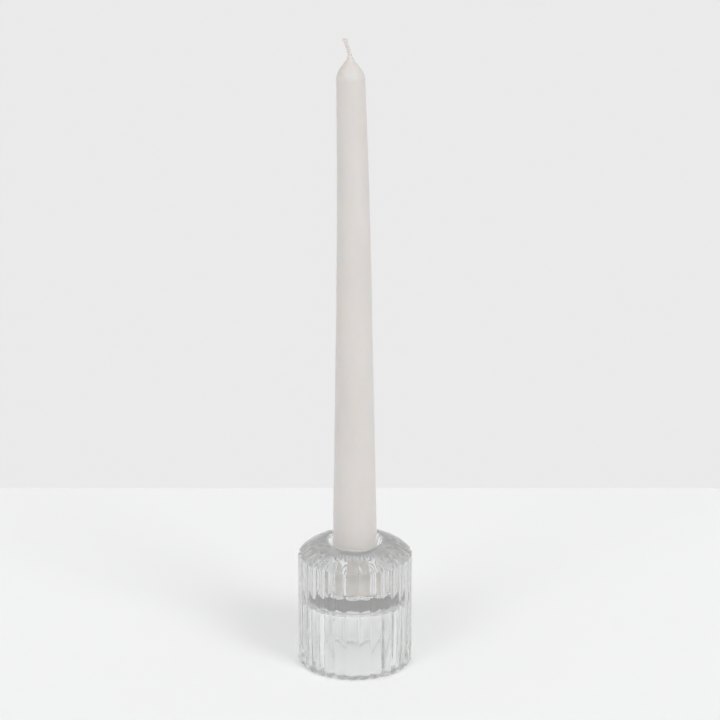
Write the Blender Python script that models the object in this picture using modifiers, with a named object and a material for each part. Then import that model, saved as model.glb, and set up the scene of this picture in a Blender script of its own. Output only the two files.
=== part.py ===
"""A clear pressed-glass candlestick with a white taper candle standing in it.

The holder is one piece of glass: a drum of thirty convex reeds under a domed shoulder, with a candle
socket in its top and a round tealight recess in its underside. The candle is wax cast round a cotton wick.

Metres, +Z up. The origin is the centre of the foot, on the surface that the candlestick stands on, and a
reed's crest lies on +X.
"""

import math

import bmesh
import bpy
from mathutils import Vector

MM = 0.001

# Glass holder: driving dimensions.
REEDS = 30
CREST_RADIUS = 28.0 * MM
REED_DEPTH = 0.9 * MM
DOME_REED_DEPTH = 1.0 * MM
REED_END_RADIUS = 20.0 * MM
SHOULDER_HEIGHT = 56.0 * MM
SHOULDER_SLOPE = math.radians(50)
RIM_SLOPE = math.radians(5)
RIM_RADIUS = 14.6 * MM
RIM_ROUND = 1.4 * MM

# Candle socket in the top.
FUNNEL_LEAN = math.radians(18)
SOCKET_RADIUS = 11.7 * MM
SOCKET_DRAFT = 0.2 * MM
SOCKET_FLOOR = 37.0 * MM
SOCKET_FILLET = 4.0 * MM

# Tealight recess in the underside.
RECESS_RADIUS = 19.7 * MM
RECESS_DRAFT = 0.4 * MM
RECESS_CEILING = 32.1 * MM
RECESS_FILLET = 1.8 * MM

# Rounded edges of the foot ring.
FOOT_ROUND = 1.6 * MM
FOOT_INNER_ROUND = 2.5 * MM

# Candle and wick.
GAP = 0.3 * MM
CANDLE_LENGTH = 267.0 * MM
CANDLE_BASE_RADIUS = 11.2 * MM
CANDLE_TOP_RADIUS = 6.8 * MM
CANDLE_BASE_ROUND = 4.2 * MM
TIP_LENGTH = 11.4 * MM
WICK_RADIUS = 0.95 * MM
WICK_SHOWING = 8.0 * MM
WICK_LEAN = 2.8 * MM
CANDLE_LEAN = 0.0028
CANDLE_BOW_START = 152.0 * MM
CANDLE_BOW = 1.5 * MM

# How finely round surfaces are divided.
STEPS_PER_REED = 4
CAP_STEPS = 6
ROUND_STEPS = 3
CANDLE_STEPS = 40
CANDLE_LEVELS = 10
TIP_LEVELS = 8
WICK_LEVELS = 14

CANDLE_SEAT = SOCKET_FLOOR + GAP


def clear_scene():
    """Leaves the scene empty."""
    for obj in list(bpy.data.objects):
        bpy.data.objects.remove(obj)


def new_collection(name):
    collection = bpy.data.collections.new(name)
    bpy.context.scene.collection.children.link(collection)
    return collection


def new_material(name, colour, roughness, transmission=0.0):
    material = bpy.data.materials.new(name)
    material.use_nodes = True
    shader = material.node_tree.nodes["Principled BSDF"]
    shader.inputs["Base Color"].default_value = (*colour, 1.0)
    shader.inputs["Roughness"].default_value = roughness
    shader.inputs["Metallic"].default_value = 0.0
    shader.inputs["Transmission Weight"].default_value = transmission
    return material


def arc(centre, radius, start, end, steps):
    """Points (r, z) along an arc, both ends included; angles are from +r towards +z."""
    angles = [start + (end - start) * i / steps for i in range(steps + 1)]
    return [(centre[0] + radius * math.cos(a), centre[1] + radius * math.sin(a)) for a in angles]


def smooth_step(t):
    t = min(max(t, 0.0), 1.0)
    return t * t * (3 - 2 * t)


def turned_mesh(name, outline, steps, closed=False):
    """The mesh that a Screw modifier turns from an outline of (r, z) points about Z."""
    mesh = bpy.data.meshes.new(name)
    edges = [(i, i + 1) for i in range(len(outline) - 1)]
    if closed:
        edges.append((len(outline) - 1, 0))
    mesh.from_pydata([(r, 0.0, z) for r, z in outline], edges, [])
    blank = bpy.data.objects.new(name, mesh)
    bpy.context.scene.collection.objects.link(blank)
    screw = blank.modifiers.new("Screw", "SCREW")
    screw.steps = steps
    screw.render_steps = steps
    screw.use_merge_vertices = True
    screw.merge_threshold = 0.00001
    turned = bpy.data.meshes.new_from_object(blank.evaluated_get(bpy.context.evaluated_depsgraph_get()))
    bpy.data.objects.remove(blank)
    bpy.data.meshes.remove(mesh)
    turned.name = name
    return turned


def add_part(name, mesh, material, collection, parent=None):
    mesh.materials.clear()
    mesh.materials.append(material)
    part = bpy.data.objects.new(name, mesh)
    part.parent = parent
    collection.objects.link(part)
    return part


def shade(mesh, sharp_angle):
    mesh.shade_smooth()
    mesh.set_sharp_from_angle(angle=sharp_angle)


# --- Glass holder ----------------------------------------------------------------------------------


def cap_outline():
    """The dome from the rim to the shoulder: an arc steepening from RIM_SLOPE to SHOULDER_SLOPE."""
    radius = (CREST_RADIUS - RIM_RADIUS) / (math.sin(SHOULDER_SLOPE) - math.sin(RIM_SLOPE))
    centre = (
        CREST_RADIUS - radius * math.sin(SHOULDER_SLOPE),
        SHOULDER_HEIGHT - radius * math.cos(SHOULDER_SLOPE),
    )
    return arc(centre, radius, math.pi / 2 - RIM_SLOPE, math.pi / 2 - SHOULDER_SLOPE, CAP_STEPS)


def rim_outline(cap_start):
    """The rounded edge between the funnel and the dome, from its inner side to the dome's first point."""
    centre = (
        cap_start[0] - RIM_ROUND * math.sin(RIM_SLOPE),
        cap_start[1] - RIM_ROUND * math.cos(RIM_SLOPE),
    )
    return arc(centre, RIM_ROUND, math.pi - FUNNEL_LEAN, math.pi / 2 - RIM_SLOPE, ROUND_STEPS)[:-1]


def socket_outline(mouth):
    """Floor, fillet, wall and funnel of the candle socket, from the axis up to the rounded edge."""
    floor_radius = SOCKET_RADIUS - SOCKET_DRAFT
    corner = (floor_radius - SOCKET_FILLET, SOCKET_FLOOR + SOCKET_FILLET)
    fillet = arc(corner, SOCKET_FILLET, -math.pi / 2, 0.0, ROUND_STEPS)
    funnel_foot = (SOCKET_RADIUS, mouth[1] - (mouth[0] - SOCKET_RADIUS) / math.tan(FUNNEL_LEAN))
    return [(0.0, SOCKET_FLOOR), *fillet, funnel_foot]


def foot_outline():
    """The rounded outer edge of the foot, its flat ring and its rounded inner edge."""
    outer = (CREST_RADIUS - FOOT_ROUND, FOOT_ROUND)
    inner = (RECESS_RADIUS + RECESS_DRAFT + FOOT_INNER_ROUND, FOOT_INNER_ROUND)
    outer_edge = arc(outer, FOOT_ROUND, 0.0, -math.pi / 2, ROUND_STEPS)
    inner_edge = arc(inner, FOOT_INNER_ROUND, -math.pi / 2, -math.pi, ROUND_STEPS)
    return [*outer_edge, *inner_edge]


def recess_outline():
    """Fillet and ceiling of the tealight recess, up to the axis."""
    corner = (RECESS_RADIUS - RECESS_FILLET, RECESS_CEILING - RECESS_FILLET)
    fillet = arc(corner, RECESS_FILLET, 0.0, math.pi / 2, ROUND_STEPS)
    return [*fillet, (0.0, RECESS_CEILING)]


def glass_outline():
    """The whole glass section through a reed's crest: socket, rim, dome, wall, foot and recess."""
    cap = cap_outline()
    rim = rim_outline(cap[0])
    return [*socket_outline(rim[0]), *rim, *cap, *foot_outline(), *recess_outline()]


def valley_share(angle):
    """0 on a reed's crest and 1 in the valley between two reeds."""
    pitch = 2 * math.pi / REEDS
    from_crest = (angle + pitch / 2) % pitch - pitch / 2
    return (2 * from_crest / pitch) ** 2


def dome_depth(radius):
    """How deep the valleys are on the dome: full at the shoulder and none at REED_END_RADIUS."""
    valley_radius = CREST_RADIUS - REED_DEPTH
    return DOME_REED_DEPTH * smooth_step((radius - REED_END_RADIUS) / (valley_radius - REED_END_RADIUS))


def press_reeds(mesh):
    """Presses the valleys in: inwards on the wall and the foot's outer edge, downwards on the dome."""
    for vertex in mesh.vertices:
        x, y, z = vertex.co
        radius = math.hypot(x, y)
        share = valley_share(math.atan2(y, x))
        if z > SHOULDER_HEIGHT + GAP:
            vertex.co.z -= dome_depth(radius) * share
        elif radius > CREST_RADIUS - FOOT_ROUND - GAP:
            inward = 1 - REED_DEPTH * share / radius
            vertex.co = (x * inward, y * inward, z)


def make_glass_body(collection):
    mesh = turned_mesh("glass_body", glass_outline(), REEDS * STEPS_PER_REED)
    press_reeds(mesh)
    shade(mesh, math.radians(25))
    glass = new_material("clear_glass", (0.96, 0.97, 0.97), 0.02, transmission=1.0)
    return add_part("glass_body", mesh, glass, collection)


# --- Candle and wick -------------------------------------------------------------------------------


def candle_drift(height):
    """How far the candle's centre line has moved towards -X at this height above its base."""
    bowed = max(height - CANDLE_BOW_START, 0.0) / (CANDLE_LENGTH - CANDLE_BOW_START)
    return CANDLE_LEAN * height + CANDLE_BOW * bowed**2


def candle_radius(height):
    """The straight taper below the tip."""
    share = height / (CANDLE_LENGTH - TIP_LENGTH)
    return CANDLE_BASE_RADIUS + (CANDLE_TOP_RADIUS - CANDLE_BASE_RADIUS) * share


def tip_radius(share):
    """The tip's S-curve, from the neck round the wick at 0 to the full taper at 1."""
    neck = WICK_RADIUS + 2 * GAP
    return neck + (CANDLE_TOP_RADIUS - neck) * (1 - math.cos(math.pi * share**0.85)) / 2


def candle_outline():
    """The wax section: from the tip down the outside to the base, then up the bore that the wick fills."""
    bore = WICK_RADIUS + GAP
    taper_top = CANDLE_LENGTH - TIP_LENGTH
    shares = [i / TIP_LEVELS for i in range(TIP_LEVELS)]
    tip = [(tip_radius(share), CANDLE_LENGTH - TIP_LENGTH * share) for share in shares]
    heights = [taper_top + (CANDLE_BASE_ROUND - taper_top) * i / CANDLE_LEVELS for i in range(CANDLE_LEVELS)]
    taper = [(candle_radius(height), height) for height in heights]
    corner = (candle_radius(CANDLE_BASE_ROUND) - CANDLE_BASE_ROUND, CANDLE_BASE_ROUND)
    base = arc(corner, CANDLE_BASE_ROUND, 0.0, -math.pi / 2, ROUND_STEPS)
    bore_wall = [(bore, height) for _, height in reversed(tip + taper)]
    return [*tip, *taper, *base, (bore, 0.0), *bore_wall]


def bow(mesh):
    for vertex in mesh.vertices:
        vertex.co.x -= candle_drift(vertex.co.z)


def make_candle(collection, seat):
    mesh = turned_mesh("taper_candle", candle_outline(), CANDLE_STEPS, closed=True)
    bow(mesh)
    shade(mesh, math.radians(40))
    wax = new_material("ivory_wax", (0.80, 0.77, 0.74), 0.4)
    return add_part("taper_candle", mesh, wax, collection, seat)


def wick_points():
    """The wick's centre line: up the candle's bore, then free of the wax and leaning towards -X."""
    points = []
    for i in range(WICK_LEVELS + 1):
        height = CANDLE_LENGTH * i / WICK_LEVELS
        points.append(Vector((-candle_drift(height), 0.0, height)))
    neck = points[-1]
    for share in (0.35, 0.7, 1.0):
        points.append(neck + Vector((-WICK_LEAN * share**1.2, 0.0, WICK_SHOWING * share)))
    return points


def make_wick(collection, seat):
    curve = bpy.data.curves.new("wick", "CURVE")
    curve.dimensions = "3D"
    curve.bevel_depth = WICK_RADIUS
    curve.bevel_resolution = 2
    curve.use_fill_caps = True
    points = wick_points()
    spline = curve.splines.new("POLY")
    spline.points.add(len(points) - 1)
    for point, place in zip(spline.points, points):
        point.co = (*place, 1.0)
    wick = bpy.data.objects.new("wick", curve)
    wick.parent = seat
    curve.materials.append(new_material("braided_cotton", (0.88, 0.85, 0.82), 0.9))
    collection.objects.link(wick)
    return wick


def make_seat(collection):
    """The empty that carries the candle and its wick, just above the socket's floor; it lifts along Z."""
    seat = bpy.data.objects.new("candle_seat", None)
    seat.empty_display_size = 10 * MM
    seat.location.z = CANDLE_SEAT
    collection.objects.link(seat)
    return seat


def main():
    clear_scene()
    parts = new_collection("glass_candlestick")
    make_glass_body(parts)
    seat = make_seat(parts)
    make_candle(parts, seat)
    make_wick(parts, seat)


main()
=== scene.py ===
# The looks of the glass candlestick: reeded glass, a cast wax taper and its braided wick.
# Metres, +Z up, in the frame's own coordinates: the origin is the centre of the foot and a
# reed's crest lies on +X.

import math

import bpy
import numpy as np
from mathutils import Matrix, Vector


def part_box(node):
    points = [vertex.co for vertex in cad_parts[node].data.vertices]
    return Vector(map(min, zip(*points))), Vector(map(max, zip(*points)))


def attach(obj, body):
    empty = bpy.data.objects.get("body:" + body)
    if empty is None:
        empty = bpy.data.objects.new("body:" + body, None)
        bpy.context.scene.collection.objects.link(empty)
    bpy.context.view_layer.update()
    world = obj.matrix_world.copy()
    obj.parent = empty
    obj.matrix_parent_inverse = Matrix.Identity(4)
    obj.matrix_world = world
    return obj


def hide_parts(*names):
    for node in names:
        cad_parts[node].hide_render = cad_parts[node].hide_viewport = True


MM = 0.001
# A turned outline starts this far from its axis, and one flat face closes it.
AXIS_GAP = 0.4 * MM

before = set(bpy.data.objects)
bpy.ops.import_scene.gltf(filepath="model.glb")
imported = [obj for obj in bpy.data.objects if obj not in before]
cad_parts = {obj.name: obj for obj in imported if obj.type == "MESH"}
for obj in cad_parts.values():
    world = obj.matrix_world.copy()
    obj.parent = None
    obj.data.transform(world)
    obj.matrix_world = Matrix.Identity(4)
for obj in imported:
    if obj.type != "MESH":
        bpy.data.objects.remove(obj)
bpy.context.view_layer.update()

# Places read from the frame.
_, GLASS_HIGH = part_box("glass_body")
WAX_LOW, WAX_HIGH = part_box("taper_candle")
_, WICK_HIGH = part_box("wick")
CREST_RADIUS = GLASS_HIGH.x - 0.02 * MM
CANDLE_SEAT = WAX_LOW.z
CANDLE_LENGTH = WAX_HIGH.z - WAX_LOW.z

# The glass section, as in the CAD, but with the rim a little finer.
REEDS = 30
REED_DEPTH = 0.9 * MM
DOME_DEPTH = 1.0 * MM
REED_END = 20.0 * MM
SHOULDER_HEIGHT = 56.0 * MM
SHOULDER_SLOPE = math.radians(50)
RIM_SLOPE = math.radians(5)
RIM_RADIUS = 14.3 * MM
RIM_ROUND = 1.3 * MM
FUNNEL_LEAN = math.radians(18)
SOCKET_RADIUS = 11.7 * MM
SOCKET_DRAFT = 0.2 * MM
SOCKET_FLOOR = 37.0 * MM
SOCKET_FILLET = 4.0 * MM
RECESS_RADIUS = 19.7 * MM
RECESS_DRAFT = 0.4 * MM
RECESS_CEILING = 32.1 * MM
RECESS_FILLET = 1.8 * MM

# Small roundings that only the finished glass has.
SHOULDER_ROUND = 0.8 * MM
FOOT_ROUND = 1.6 * MM
FOOT_EDGE_ROUND = 2.5 * MM
FOOT_RISE = 0.08 * MM
VALLEY_ROUND = 0.14

# Candle.
TIP_LENGTH = 11.4 * MM
CANDLE_BASE_RADIUS = 11.2 * MM
CANDLE_TOP_RADIUS = 6.77 * MM
CANDLE_BASE_ROUND = 4.2 * MM
CANDLE_WAIST = 0.12 * MM
CANDLE_NECK = 1.05 * MM
CANDLE_LEAN = 0.0028
CANDLE_BOW_START = 152.0 * MM
CANDLE_BOW = 1.5 * MM
CANDLE_COLUMNS = 96

# Camera and stage.
CAMERA_AZIMUTH = math.radians(-3.5)
CAMERA_PITCH = math.radians(18.6)
CAMERA_PLACE = Vector((0.0024, -1.2819, 0.5871))
CAMERA_LENS = 141.25
TABLE_BACK = 0.232
TABLE_FRONT = -1.5
TABLE_HALF_WIDTH = 1.6


# --- Mesh helpers ---


def arc(centre, radius, start, end, steps):
    """Points (r, z) along an arc in an outline's plane, both ends included."""
    angles = [start + (end - start) * i / steps for i in range(steps + 1)]
    return [(centre[0] + radius * math.cos(a), centre[1] + radius * math.sin(a)) for a in angles]


def line(start, end, steps):
    """Points between two outline points, without the first one."""
    return [tuple(np.array(start) + (np.array(end) - start) * i / steps) for i in range(1, steps + 1)]


def smooth_step(t):
    t = np.clip(t, 0.0, 1.0)
    return t * t * (3 - 2 * t)


def grid_faces(rows, columns):
    """Quads of a closed ring grid: rows of points, each row joined round to its start."""
    row, column = np.meshgrid(np.arange(rows - 1), np.arange(columns), indexing="ij")
    after = (column + 1) % columns
    here, below = row * columns, (row + 1) * columns
    quads = np.stack([here + column, below + column, below + after, here + after], axis=-1)
    return quads.reshape(-1, 4).tolist()


def add_piece(name, points, faces, material, body, stands_for):
    """Makes a smooth-shaded mesh piece that rides on a CAD body in place of a CAD node."""
    mesh = bpy.data.meshes.new(name)
    mesh.from_pydata([tuple(p) for p in points], [], faces)
    mesh.validate()
    mesh.materials.append(material)
    mesh.shade_smooth()
    piece = bpy.data.objects.new(name, mesh)
    bpy.context.scene.collection.objects.link(piece)
    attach(piece, body)
    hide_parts(stands_for)
    return piece


# --- Glass ---


def socket_outline(mouth):
    floor_radius = SOCKET_RADIUS - SOCKET_DRAFT
    corner = (floor_radius - SOCKET_FILLET, SOCKET_FLOOR + SOCKET_FILLET)
    floor = line((AXIS_GAP, SOCKET_FLOOR), (corner[0], SOCKET_FLOOR), 4)
    fillet = arc(corner, SOCKET_FILLET, -math.pi / 2, 0.0, 8)[1:]
    funnel_foot = (SOCKET_RADIUS, mouth[1] - (mouth[0] - SOCKET_RADIUS) / math.tan(FUNNEL_LEAN))
    bore = line(fillet[-1], funnel_foot, 6)
    funnel = line(funnel_foot, mouth, 4)[:-1]
    return [(AXIS_GAP, SOCKET_FLOOR), *floor, *fillet, *bore, *funnel]


def cap_outline(wall_radius):
    """The dome from the rim down to the shoulder, then round the shoulder into a wall of this radius."""
    radius = (CREST_RADIUS - RIM_RADIUS) / (math.sin(SHOULDER_SLOPE) - math.sin(RIM_SLOPE))
    centre = (
        CREST_RADIUS - radius * math.sin(SHOULDER_SLOPE),
        SHOULDER_HEIGHT - radius * math.cos(SHOULDER_SLOPE),
    )
    inner = wall_radius - SHOULDER_ROUND
    level = centre[1] + math.sqrt((radius - SHOULDER_ROUND) ** 2 - (inner - centre[0]) ** 2)
    start = math.atan2(level - centre[1], inner - centre[0])
    dome = arc(centre, radius, math.pi / 2 - RIM_SLOPE, start, 24)
    return dome + arc((inner, level), SHOULDER_ROUND, start, 0.0, 6)[1:]


def rim_outline(cap_start):
    centre = (
        cap_start[0] - RIM_ROUND * math.sin(RIM_SLOPE),
        cap_start[1] - RIM_ROUND * math.cos(RIM_SLOPE),
    )
    return arc(centre, RIM_ROUND, math.pi - FUNNEL_LEAN, math.pi / 2 - RIM_SLOPE, 9)[:-1]


def foot_outline(wall_top):
    """Down the wall, round the foot's outer edge, across the foot and round its inner edge."""
    outer = (wall_top[0] - FOOT_ROUND, FOOT_ROUND + FOOT_RISE)
    inner_radius = RECESS_RADIUS + RECESS_DRAFT + FOOT_EDGE_ROUND
    inner = (inner_radius, FOOT_EDGE_ROUND + FOOT_RISE)
    wall = line(wall_top, (wall_top[0], outer[1]), 6)
    outer_edge = arc(outer, FOOT_ROUND, 0.0, -math.pi / 2, 8)[1:]
    foot = line(outer_edge[-1], (inner_radius, FOOT_RISE), 4)
    inner_edge = arc(inner, FOOT_EDGE_ROUND, -math.pi / 2, -math.pi, 5)[1:]
    return [*wall, *outer_edge, *foot, *inner_edge]


def recess_outline(foot_inner):
    corner = (RECESS_RADIUS - RECESS_FILLET, RECESS_CEILING - RECESS_FILLET)
    wall = line(foot_inner, (RECESS_RADIUS, corner[1]), 6)
    fillet = arc(corner, RECESS_FILLET, 0.0, math.pi / 2, 8)[1:]
    ceiling = line(fillet[-1], (AXIS_GAP, RECESS_CEILING), 5)
    return [*wall, *fillet, *ceiling]


def glass_outline(wall_radius):
    """The whole glass section where the wall has this radius."""
    cap = cap_outline(wall_radius)
    rim = rim_outline(cap[0])
    foot = foot_outline(cap[-1])
    return np.array([*socket_outline(rim[0]), *rim, *cap, *foot, *recess_outline(foot[-1])])


def reed_azimuths():
    """Azimuths round the glass, closer together near the valleys, and each one's share of the reed depth."""
    steps = 8
    across = np.sin(np.arange(-steps, steps) / steps * math.pi / 2)
    azimuths = (np.arange(REEDS)[:, None] + across / 2) * 2 * math.pi / REEDS
    offset = np.abs(across)
    join = 1 - VALLEY_ROUND
    beyond = np.clip((offset - join) / VALLEY_ROUND, 0.0, 1.0)
    share = np.minimum(offset, join) ** 2 + 2 * join * VALLEY_ROUND * (beyond - beyond**2 / 2)
    share /= join**2 + join * VALLEY_ROUND
    return azimuths.ravel(), np.tile(share, REEDS)


def press_dome(outline):
    """Lowers the dome's points between the reeds, fading to nothing at REED_END."""
    share = (outline[:, 0] - REED_END) / (CREST_RADIUS - REED_DEPTH - REED_END)
    depth = DOME_DEPTH * smooth_step(share)
    on_dome = outline[:, 1] > SHOULDER_HEIGHT - SHOULDER_ROUND
    pressed = outline.copy()
    pressed[:, 1] -= np.where(on_dome, depth, 0.0)
    return pressed


def make_glass():
    """Blends the section through a reed's crest into the section through a valley, all the way round."""
    crest = glass_outline(CREST_RADIUS)[:, None, :]
    valley = press_dome(glass_outline(CREST_RADIUS - REED_DEPTH))[:, None, :]
    azimuths, share = reed_azimuths()
    section = crest + (valley - crest) * share[None, :, None]
    radius, height = section[..., 0], section[..., 1]
    points = np.stack([radius * np.cos(azimuths), radius * np.sin(azimuths), height], axis=-1)
    rows, columns = height.shape
    faces = grid_faces(rows, columns)
    faces.append(list(range(columns)))
    faces.append(list(range((rows - 1) * columns, rows * columns))[::-1])
    return add_piece(
        "reeded_glass", points.reshape(-1, 3), faces, glass_material(), "holder", "glass_body"
    )


# --- Candle ---


def candle_drift(height):
    """How far the candle's centre line has moved towards -X at this height above its base."""
    bowed = np.maximum(height - CANDLE_BOW_START, 0.0) / (CANDLE_LENGTH - CANDLE_BOW_START)
    return CANDLE_LEAN * height + CANDLE_BOW * bowed**2


def candle_outline():
    taper_top = CANDLE_LENGTH - TIP_LENGTH
    corner = (CANDLE_BASE_RADIUS - CANDLE_BASE_ROUND, CANDLE_BASE_ROUND)
    base = arc(corner, CANDLE_BASE_ROUND, -math.pi / 2, 0.0, 8)
    heights = np.linspace(CANDLE_BASE_ROUND, taper_top, 90)[1:]
    share = heights / taper_top
    radii = CANDLE_BASE_RADIUS + (CANDLE_TOP_RADIUS - CANDLE_BASE_RADIUS) * share
    radii -= CANDLE_WAIST * np.sin(math.pi * share) ** 2
    down = np.linspace(1.0, 0.0, 25)[1:]
    tip_radii = CANDLE_NECK + (CANDLE_TOP_RADIUS - CANDLE_NECK) * (1 - np.cos(math.pi * down**0.85)) / 2
    tip = zip(tip_radii, CANDLE_LENGTH - TIP_LENGTH * down)
    return [(AXIS_GAP, 0.0), *base, *zip(radii, heights), *tip]


def make_candle():
    columns = CANDLE_COLUMNS
    outline = np.array(candle_outline())
    azimuths = np.arange(columns) * 2 * math.pi / columns
    radius, height = outline[:, :1], outline[:, 1:]
    x = radius * np.cos(azimuths) - candle_drift(height)
    y = radius * np.sin(azimuths) + 0 * height
    z = CANDLE_SEAT + height + 0 * azimuths
    points = np.stack([x, y, z], axis=-1)
    rows = len(outline)
    faces = [face[::-1] for face in grid_faces(rows, columns)]
    faces.append(list(range(columns))[::-1])
    faces.append(list(range((rows - 1) * columns, rows * columns)))
    return add_piece(
        "wax_taper", points.reshape(-1, 3), faces, wax_material(), "candle", "taper_candle"
    )


# --- Wick ---

STRAND_SIDES = 12
STRAND_RADIUS = 0.5 * MM
BRAID_WIDTH = 0.40 * MM
BRAID_DEPTH = 0.30 * MM
BRAID_PITCH = 3.4 * MM
WICK_LEAN = 2.7 * MM
# How far each strand stands off sideways at the wick's cut end, which is split in two.
STRAND_ENDS = (-0.75 * MM, 0.30 * MM, 0.80 * MM)


def wick_line(length):
    """The wick's centre line this far above the candle's base: out of the wax it leans to -X."""
    share = np.maximum(length - CANDLE_LENGTH, 0.0) / (WICK_HIGH.z - WAX_HIGH.z)
    x = -candle_drift(np.minimum(length, CANDLE_LENGTH)) - WICK_LEAN * share**1.1
    return x, CANDLE_SEAT + length


def strand_points(strand):
    """One strand of the flat braid, along the wick's whole length, going its own way at the cut end."""
    free = WICK_HIGH.z - WAX_HIGH.z - 0.3 * MM
    hidden = np.linspace(1 * MM, CANDLE_LENGTH - 4 * MM, 260)
    shown = np.linspace(CANDLE_LENGTH - 4 * MM, CANDLE_LENGTH + free, 60)[1:]
    length = np.concatenate([hidden, shown])
    phase = 2 * math.pi * (length / BRAID_PITCH + strand / len(STRAND_ENDS))
    x, z = wick_line(length)
    loose = smooth_step((length - CANDLE_LENGTH - 0.35 * free) / (0.65 * free))
    across = BRAID_WIDTH * np.sin(phase) * (1 - loose) + STRAND_ENDS[strand] * loose
    deep = BRAID_DEPTH * np.sin(2 * phase) * (1 - loose)
    return np.stack([x + across, deep, z], axis=-1)


def tube(path, radii, sides):
    """Rings of points round a path, each square to it."""
    along = np.gradient(path, axis=0)
    along /= np.linalg.norm(along, axis=1)[:, None]
    first = np.cross(along, [0.0, 1.0, 0.0])
    first /= np.linalg.norm(first, axis=1)[:, None]
    second = np.cross(along, first)
    turn = np.arange(sides) * 2 * math.pi / sides
    ring = first[:, None] * np.cos(turn)[None, :, None] + second[:, None] * np.sin(turn)[None, :, None]
    return path[:, None] + ring * radii[:, None, None]


def make_wick():
    points, faces = [], []
    for strand in range(len(STRAND_ENDS)):
        path = strand_points(strand)
        radii = np.full(len(path), STRAND_RADIUS)
        radii[-3:] *= (0.95, 0.8, 0.45)
        rings = tube(path, radii, STRAND_SIDES)
        start = len(points)
        points.extend(rings.reshape(-1, 3))
        faces.extend([[start + i for i in face] for face in grid_faces(len(path), STRAND_SIDES)])
        faces.append([start + i for i in range(STRAND_SIDES)])
        last = start + (len(path) - 1) * STRAND_SIDES
        faces.append([last + i for i in range(STRAND_SIDES)][::-1])
    return add_piece("braided_wick", points, faces, wick_material(), "candle", "wick")


# --- Materials ---


class Nodes:
    """A short way to build a node material or world."""

    def __init__(self, owner):
        owner.use_nodes = True
        self.tree = owner.node_tree
        self.tree.nodes.clear()

    def add(self, kind, settings=None, **inputs):
        node = self.tree.nodes.new(kind)
        for name, value in (settings or {}).items():
            setattr(node, name, value)
        for name, value in inputs.items():
            socket = node.inputs[name.replace("_", " ")]
            if isinstance(value, bpy.types.NodeSocket):
                self.tree.links.new(value, socket)
            else:
                socket.default_value = value
        return node

    def link(self, output, node, socket):
        self.tree.links.new(output, node.inputs[socket])

    def coordinates(self, stretch=(1.0, 1.0, 1.0)):
        """Object coordinates, scaled along each axis."""
        place = self.add("ShaderNodeTexCoord")
        mapping = self.add("ShaderNodeMapping", Vector=place.outputs["Object"], Scale=stretch)
        return mapping.outputs["Vector"]

    def noise(self, vector, scale, detail=2.0, roughness=0.5):
        node = self.add("ShaderNodeTexNoise", Vector=vector, Scale=scale, Detail=detail, Roughness=roughness)
        return node.outputs["Fac"]

    def remap(self, value, low, high, start=0.0, end=1.0):
        span = {"From_Min": start, "From_Max": end, "To_Min": low, "To_Max": high}
        node = self.add("ShaderNodeMapRange", Value=value, **span)
        return node.outputs["Result"]

    def mix_colour(self, factor, first, second):
        node = self.add("ShaderNodeMix", {"data_type": "RGBA"})
        self.link(factor, node, 0)
        node.inputs[6].default_value = (*first, 1.0)
        node.inputs[7].default_value = (*second, 1.0)
        return node.outputs[2]

    def bump(self, height, strength, distance):
        node = self.add("ShaderNodeBump", Height=height, Strength=strength, Distance=distance)
        return node.outputs["Normal"]


def glass_material():
    """Clear soda glass: fire-polished, with the faint waviness and haze of a pressed surface."""
    material = bpy.data.materials.new("pressed_glass")
    nodes = Nodes(material)
    place = nodes.coordinates()
    waviness = nodes.noise(place, 220.0, 2.0)
    haze = nodes.noise(place, 90.0, 3.0)
    shader = nodes.add(
        "ShaderNodeBsdfPrincipled",
        Base_Color=(0.985, 0.99, 0.988, 1.0),
        Roughness=nodes.remap(haze, 0.0, 0.01, 0.35, 0.8),
        IOR=1.52,
        Transmission_Weight=1.0,
        Normal=nodes.bump(waviness, 0.02, 0.0004),
    )
    absorb = nodes.add("ShaderNodeVolumeAbsorption", Color=(0.845, 0.845, 0.842, 1.0), Density=31.0)
    output = nodes.add("ShaderNodeOutputMaterial", Surface=shader.outputs[0])
    nodes.link(absorb.outputs[0], output, "Volume")
    return material


def wax_material():
    """Ivory wax: satin, slightly translucent, with a cloudy tone and shallow casting marks."""
    material = bpy.data.materials.new("candle_wax")
    nodes = Nodes(material)
    place = nodes.coordinates((1.0, 1.0, 0.35))
    cloud = nodes.noise(place, 60.0, 4.0)
    marks = nodes.noise(place, 260.0, 3.0)
    fine = nodes.noise(nodes.coordinates(), 2400.0, 2.0)
    tone = nodes.remap(cloud, 0.0, 1.0, 0.3, 0.7)
    colour = nodes.mix_colour(tone, (0.63, 0.605, 0.583), (0.665, 0.64, 0.618))
    relief = nodes.bump(fine, 0.10, 0.00006)
    dents = nodes.add("ShaderNodeBump", Height=marks, Strength=0.18, Distance=0.0003, Normal=relief)
    shader = nodes.add(
        "ShaderNodeBsdfPrincipled",
        Base_Color=colour,
        Roughness=nodes.remap(marks, 0.30, 0.42, 0.3, 0.7),
        IOR=1.44,
        Subsurface_Weight=1.0,
        Subsurface_Radius=(1.0, 0.75, 0.55),
        Subsurface_Scale=0.002,
        Normal=dents.outputs["Normal"],
    )
    nodes.add("ShaderNodeOutputMaterial", Surface=shader.outputs[0])
    return material


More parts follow.
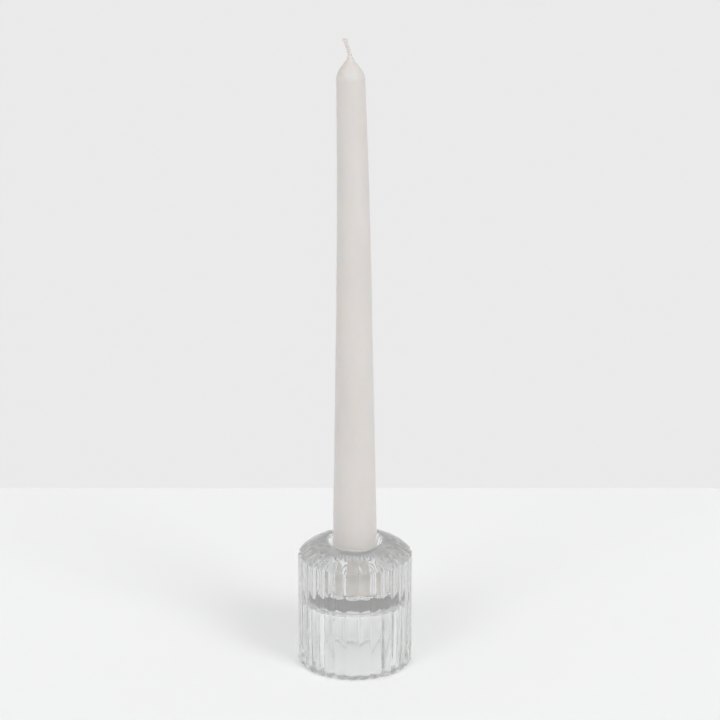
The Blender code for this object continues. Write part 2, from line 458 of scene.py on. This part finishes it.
def wick_material():
    """Waxed braided cotton: fine twisted yarns along each strand."""
    material = bpy.data.materials.new("braided_cotton")
    nodes = Nodes(material)
    yarn = nodes.add(
        "ShaderNodeTexWave",
        {"wave_type": "BANDS", "bands_direction": "DIAGONAL"},
        Vector=nodes.coordinates(),
        Scale=1100.0,
        Distortion=2.5,
        Detail=2.0,
        Detail_Scale=2.0,
    )
    shade = nodes.noise(nodes.coordinates(), 900.0, 3.0)
    colour = nodes.mix_colour(yarn.outputs["Fac"], (0.60, 0.555, 0.53), (0.72, 0.675, 0.65))
    shader = nodes.add(
        "ShaderNodeBsdfPrincipled",
        Base_Color=colour,
        Roughness=nodes.remap(shade, 0.6, 0.9),
        Normal=nodes.bump(yarn.outputs["Fac"], 0.3, 0.00004),
    )
    nodes.add("ShaderNodeOutputMaterial", Surface=shader.outputs[0])
    return material


def table_material():
    """A matt white table top with a very faint cloudiness."""
    material = bpy.data.materials.new("table_top")
    nodes = Nodes(material)
    cloud = nodes.noise(nodes.coordinates(), 6.0, 3.0)
    shader = nodes.add(
        "ShaderNodeBsdfPrincipled",
        Base_Color=nodes.mix_colour(cloud, (0.865, 0.867, 0.873), (0.885, 0.887, 0.893)),
        Roughness=0.7,
        Specular_IOR_Level=0.2,
    )
    nodes.add("ShaderNodeOutputMaterial", Surface=shader.outputs[0])
    return material


# --- Stage ---


def make_table():
    """The pale table top, whose back edge lies square to the camera a little way behind the candlestick."""
    corners = [
        (-TABLE_HALF_WIDTH, TABLE_FRONT, 0.0),
        (TABLE_HALF_WIDTH, TABLE_FRONT, 0.0),
        (TABLE_HALF_WIDTH, TABLE_BACK, 0.0),
        (-TABLE_HALF_WIDTH, TABLE_BACK, 0.0),
    ]
    mesh = bpy.data.meshes.new("table_top")
    mesh.from_pydata(corners, [], [(0, 1, 2, 3)])
    mesh.materials.append(table_material())
    table = bpy.data.objects.new("table_top", mesh)
    table.rotation_euler.z = CAMERA_AZIMUTH
    bpy.context.scene.collection.objects.link(table)


# Brightness of the studio's plain surround, against the sine of the elevation.
SURROUND = (
    (-1.0, 0.825),
    (-0.02, 0.825),
    (0.13, 0.72),
    (0.33, 0.35),
    (0.38, 0.35),
    (0.47, 0.82),
    (0.6, 0.88),
    (1.0, 0.62),
)
# Panels in the surround: azimuth from the front towards the right, elevation, half-width with its soft edge,
# half-width of its even middle (all in degrees), and brightness.
PANELS = (
    (0.0, 30.0, 65.0, 20.0, 1.05),
    (40.0, 40.0, 14.0, 8.0, 7.0),
    (-40.0, 40.0, 14.0, 8.0, 4.2),
)


def surround_light(nodes, height):
    """The surround's brightness, as a ramp over the sine of the elevation."""
    brightest = max(value for _, value in SURROUND)
    ramp = nodes.add("ShaderNodeValToRGB")
    ramp.color_ramp.interpolation = "EASE"
    elements = ramp.color_ramp.elements
    while len(elements) < len(SURROUND):
        elements.new(0.5)
    for element, (level, value) in zip(elements, SURROUND):
        element.position = (level + 1) / 2
        element.color = (value / brightest,) * 3 + (1.0,)
    nodes.link(nodes.remap(height, 0.0, 1.0, -1.0, 1.0), ramp, 0)
    scaled = nodes.add("ShaderNodeMath", {"operation": "MULTIPLY"})
    nodes.link(ramp.outputs[0], scaled, 0)
    scaled.inputs[1].default_value = brightest
    return scaled.outputs[0]


def panel_direction(azimuth, elevation):
    turn, tilt = math.radians(azimuth), math.radians(elevation)
    return Vector((math.sin(turn) * math.cos(tilt), -math.cos(turn) * math.cos(tilt), math.sin(tilt)))


def add_panel(nodes, light, direction, panel):
    """Puts a soft-edged round panel of its own brightness over the light so far."""
    azimuth, elevation, edge, middle, brightness = panel
    aim = nodes.add("ShaderNodeVectorMath", {"operation": "DOT_PRODUCT"})
    nodes.link(direction, aim, 0)
    aim.inputs[1].default_value = panel_direction(azimuth, elevation)
    cover = nodes.add(
        "ShaderNodeMapRange",
        {"interpolation_type": "SMOOTHSTEP"},
        Value=aim.outputs["Value"],
        From_Min=math.cos(math.radians(edge)),
        From_Max=math.cos(math.radians(middle)),
    )
    mix = nodes.add("ShaderNodeMix", {"data_type": "FLOAT"})
    nodes.link(cover.outputs[0], mix, 0)
    nodes.link(light, mix, 2)
    mix.inputs[3].default_value = brightness
    return mix.outputs[0]


def make_world():
    world = bpy.data.worlds.new("studio")
    bpy.context.scene.world = world
    nodes = Nodes(world)
    direction = nodes.add("ShaderNodeTexCoord").outputs["Generated"]
    axes = nodes.add("ShaderNodeSeparateXYZ", Vector=direction)
    light = surround_light(nodes, axes.outputs["Z"])
    for panel in PANELS:
        light = add_panel(nodes, light, direction, panel)
    background = nodes.add("ShaderNodeBackground", Color=(1.0, 1.0, 1.0, 1.0), Strength=light)
    nodes.add("ShaderNodeOutputWorld", Surface=background.outputs[0])


def make_camera():
    data = bpy.data.cameras.new("camera")
    data.lens = CAMERA_LENS
    data.sensor_width = 36.0
    data.clip_end = 20.0
    camera = bpy.data.objects.new("camera", data)
    camera.location = Matrix.Rotation(CAMERA_AZIMUTH, 3, "Z") @ CAMERA_PLACE
    camera.rotation_euler = (math.pi / 2 - CAMERA_PITCH, 0.0, CAMERA_AZIMUTH)
    bpy.context.scene.collection.objects.link(camera)
    bpy.context.scene.camera = camera


def set_light_paths():
    """Enough bounces for light reflected many times inside the glass, with none of it blurred."""
    scene = bpy.context.scene
    scene.cycles.max_bounces = 32
    scene.cycles.transmission_bounces = 32
    scene.cycles.glossy_bounces = 12
    scene.cycles.blur_glossy = 0.0
    scene.view_settings.view_transform = "Standard"


make_camera()
set_light_paths()
make_world()
make_table()
make_glass()
make_candle()
make_wick()
